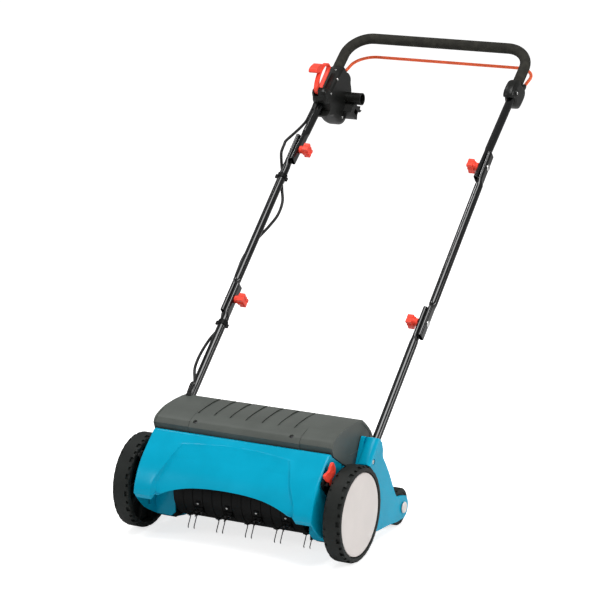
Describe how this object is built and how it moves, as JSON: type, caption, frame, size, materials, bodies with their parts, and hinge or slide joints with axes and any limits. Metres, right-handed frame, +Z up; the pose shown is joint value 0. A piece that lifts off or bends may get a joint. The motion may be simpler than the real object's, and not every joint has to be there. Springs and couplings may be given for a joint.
{
  "type": "electric lawn scarifier",
  "caption": "Electric lawn scarifier: a blue hood over a tine drum, large front and small rear wheels, and a push handle with two folds, foam grip and bail.",
  "frame": {"origin": "on the ground, at the centre of the outer box seen from above", "axes": "+X to the right seen from the front of the hood, +Y towards the user at the handle, +Z up"},
  "size_m": [0.5252, 1.1224, 0.922],
  "materials": {
    "blue_plastic": "moulded, satin gloss",
    "anthracite_plastic": "moulded, fine grain",
    "black_plastic": "moulded, fine grain",
    "tyre_plastic": "moulded tread",
    "grey_plastic": "moulded, smooth",
    "red_plastic": "moulded, smooth",
    "orange_coating": "powder coated wire",
    "black_coating": "powder coated tube",
    "zinc_steel": "zinc plated",
    "foam": "foam sleeve",
    "cable_rubber": "extruded sheath"
  },
  "bodies": {
    "deck": {"front_hood": "blue_plastic", "side_frame_left": "blue_plastic", "side_frame_right": "blue_plastic", "rear_panel": "blue_plastic", "motor_cover": "anthracite_plastic", "bearing_plate_left": "black_plastic", "bearing_plate_right": "black_plastic", "drum_bearing_left": "zinc_steel", "drum_bearing_right": "zinc_steel", "drum_shroud": "black_plastic", "drive_belt": "cable_rubber", "motor_can": "zinc_steel", "rear_axle": "zinc_steel", "rear_axle_cap_left": "grey_plastic", "rear_axle_cap_right": "grey_plastic", "lower_tube_left": "black_coating", "lower_tube_right": "black_coating", "lower_bolt_left": "zinc_steel", "lower_bolt_right": "zinc_steel", "lower_cable": "cable_rubber", "lower_cable_clip": "black_plastic"},
    "rear_flap": {"rear_flap": "cable_rubber"},
    "drum": {"tine_drum": "black_plastic", "drum_shaft": "zinc_steel", "drum_pulley": "anthracite_plastic"},
    "motor": {"motor_rotor": "zinc_steel", "motor_pulley": "zinc_steel"},
    "height_yoke": {"wheel_arm_left": "black_plastic", "wheel_arm_right": "black_plastic", "cross_rod": "zinc_steel", "height_lever": "red_plastic"},
    "front_wheel_left": {"front_wheel_left": "tyre_plastic", "wheel_disc_left": "grey_plastic"},
    "front_wheel_right": {"front_wheel_right": "tyre_plastic", "wheel_disc_right": "grey_plastic"},
    "rear_wheel_left": {"rear_wheel_left": "tyre_plastic"},
    "rear_wheel_right": {"rear_wheel_right": "tyre_plastic"},
    "lower_knob_left": {"lower_knob_left": "red_plastic"},
    "lower_knob_right": {"lower_knob_right": "red_plastic"},
    "middle_handle": {"middle_tube_left": "black_coating", "middle_tube_right": "black_coating", "upper_bolt_left": "zinc_steel", "upper_bolt_right": "zinc_steel", "middle_cable": "cable_rubber", "middle_cable_clip": "black_plastic"},
    "upper_knob_left": {"upper_knob_left": "red_plastic"},
    "upper_knob_right": {"upper_knob_right": "red_plastic"},
    "upper_handle": {"upper_handle_tube": "black_coating", "foam_grip": "foam", "switch_housing_outer": "black_plastic", "switch_housing_inner": "black_plastic", "clamp_outer": "black_plastic", "clamp_inner": "black_plastic", "inlet_contacts": "zinc_steel", "microswitch": "black_plastic", "upper_cable": "cable_rubber"},
    "bail": {"bail_arm_left": "black_plastic", "bail_arm_right": "black_plastic", "bail_bar": "orange_coating"},
    "safety_lock": {"safety_lock": "red_plastic"}
  },
  "joints": [
    {"name": "lower_fold", "type": "hinge", "parent": "deck", "child": "middle_handle", "pos_m": [0, -0.0812, 0.409], "axis": [1, 0, 0], "range_deg": [0, 140]},
    {"name": "upper_fold", "type": "hinge", "parent": "middle_handle", "child": "upper_handle", "pos_m": [0, 0.2346, 0.68938], "axis": [1, 0, 0], "range_deg": [-135, 0]},
    {"name": "bail_squeeze", "type": "hinge", "parent": "upper_handle", "child": "bail", "pos_m": [0, 0.44871, 0.82272], "axis": [1, 0, 0], "range_deg": [0, 22], "stiffness_Nm_per_rad": 0.6, "springref_deg": -11.46},
    {"name": "safety_lock_press", "type": "hinge", "parent": "upper_handle", "child": "safety_lock", "pos_m": [-0.2265, 0.33025, 0.811], "axis": [1, 0, 0], "range_deg": [-8, 0], "stiffness_Nm_per_rad": 0.3, "springref_deg": 11.46},
    {"name": "height_setting", "type": "hinge", "parent": "deck", "child": "height_yoke", "pos_m": [0, -0.4062, 0.105], "axis": [1, 0, 0], "range_deg": [-11.5, 0]},
    {"name": "front_wheel_left_spin", "type": "hinge", "parent": "height_yoke", "child": "front_wheel_left", "pos_m": [-0.2431, -0.4512, 0.1], "axis": [1, 0, 0], "continuous": true},
    {"name": "front_wheel_right_spin", "type": "hinge", "parent": "height_yoke", "child": "front_wheel_right", "pos_m": [0.2431, -0.4512, 0.1], "axis": [1, 0, 0], "continuous": true},
    {"name": "rear_wheel_left_spin", "type": "hinge", "parent": "deck", "child": "rear_wheel_left", "pos_m": [-0.224, -0.2112, 0.04], "axis": [1, 0, 0], "continuous": true},
    {"name": "rear_wheel_right_spin", "type": "hinge", "parent": "deck", "child": "rear_wheel_right", "pos_m": [0.224, -0.2112, 0.04], "axis": [1, 0, 0], "continuous": true},
    {"name": "drum_spin", "type": "hinge", "parent": "deck", "child": "drum", "pos_m": [0, -0.4292, 0.1], "axis": [1, 0, 0], "continuous": true},
    {"name": "motor_spin", "type": "hinge", "parent": "deck", "child": "motor", "pos_m": [-0.183, -0.3362, 0.207], "axis": [1, 0, 0], "continuous": true},
    {"name": "rear_flap_swing", "type": "hinge", "parent": "deck", "child": "rear_flap", "pos_m": [0, -0.3012, 0.115], "axis": [1, 0, 0], "range_deg": [-10, 70]},
    {"name": "lower_knob_left_turn", "type": "hinge", "parent": "deck", "child": "lower_knob_left", "pos_m": [-0.208, -0.0812, 0.409], "axis": [1, 0, 0], "continuous": true},
    {"name": "upper_knob_left_turn", "type": "hinge", "parent": "middle_handle", "child": "upper_knob_left", "pos_m": [-0.208, 0.2346, 0.68938], "axis": [1, 0, 0], "continuous": true},
    {"name": "lower_knob_right_turn", "type": "hinge", "parent": "deck", "child": "lower_knob_right", "pos_m": [0.208, -0.0812, 0.409], "axis": [1, 0, 0], "continuous": true},
    {"name": "upper_knob_right_turn", "type": "hinge", "parent": "middle_handle", "child": "upper_knob_right", "pos_m": [0.208, 0.2346, 0.68938], "axis": [1, 0, 0], "continuous": true}
  ],
  "couplings": [
    {"joint": "motor_spin", "follows": "drum_spin", "ratio": 2.4}
  ]
}
